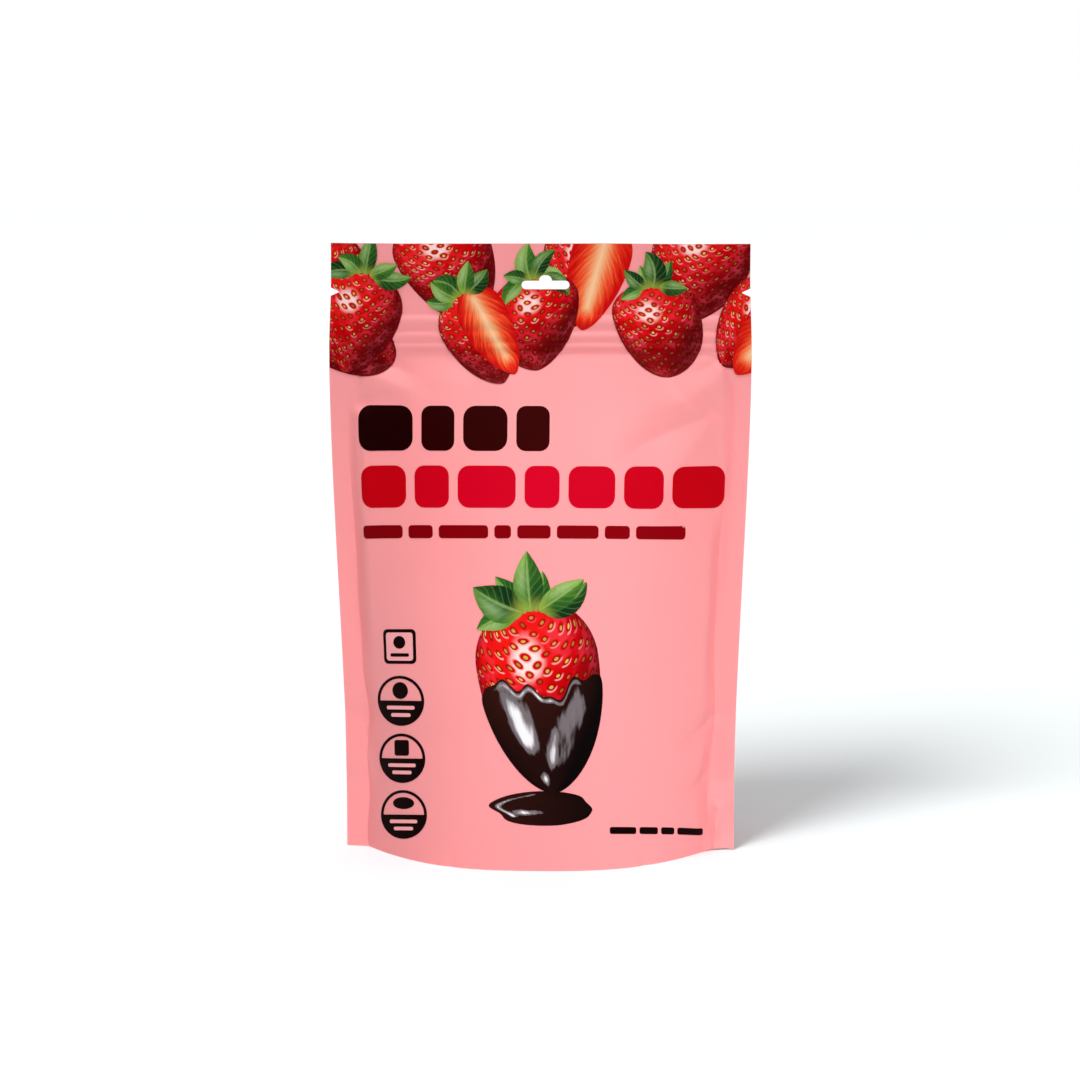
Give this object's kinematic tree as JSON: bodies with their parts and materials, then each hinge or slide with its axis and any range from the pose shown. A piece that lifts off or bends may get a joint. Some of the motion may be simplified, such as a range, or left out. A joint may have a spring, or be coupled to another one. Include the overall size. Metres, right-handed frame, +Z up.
{
  "type": "stand-up pouch",
  "caption": "Shut, filled stand-up pouch of matt film with side seals, press-to-close zip, hang slot, tear notches and an opened bottom gusset that it stands on.",
  "frame": {"origin": "on the floor, at the middle of the pouch's bounding box", "axes": "+Z up along the pouch's height; -Y out of the front panel; +X to the right as the front is seen"},
  "size_m": [0.162, 0.0748, 0.236],
  "materials": {
    "film": "matt laminated film, pale pink, printed"
  },
  "bodies": {
    "root": {"pouch": "film"}
  },
  "joints": []
}
